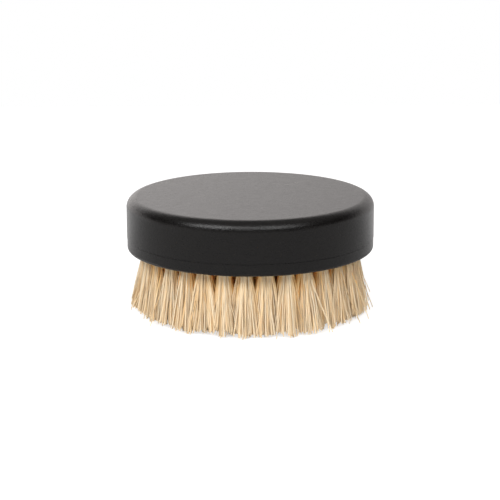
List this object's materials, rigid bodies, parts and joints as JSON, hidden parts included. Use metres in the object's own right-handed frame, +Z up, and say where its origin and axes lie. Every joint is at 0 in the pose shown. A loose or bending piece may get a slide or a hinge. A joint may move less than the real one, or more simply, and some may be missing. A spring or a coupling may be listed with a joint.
{
  "type": "palm brush",
  "caption": "Round palm brush: a turned black wooden block held in the palm, drilled from below and filled with rings of stapled natural-fibre tufts.",
  "frame": {"origin": "on the block's axis, in the plane of the fibre tips that the brush stands on", "axes": "+Z up along the block's axis, from the fibre tips to the palm face; +X to the right and -Y towards the viewer in the picture"},
  "size_m": [0.09, 0.09, 0.0424],
  "materials": {
    "blackened_wood": "satin black lacquer over fine-grained hardwood",
    "plant_fibre": "natural cream plant fibre, undyed",
    "staple_wire": "drawn wire, zinc coated"
  },
  "bodies": {
    "root": {"block": "blackened_wood", "outer_ring_tufts": "plant_fibre", "second_ring_tufts": "plant_fibre", "third_ring_tufts": "plant_fibre", "fourth_ring_tufts": "plant_fibre", "centre_tufts": "plant_fibre", "outer_ring_staples": "staple_wire", "second_ring_staples": "staple_wire", "third_ring_staples": "staple_wire", "fourth_ring_staples": "staple_wire", "centre_staples": "staple_wire"}
  },
  "joints": []
}
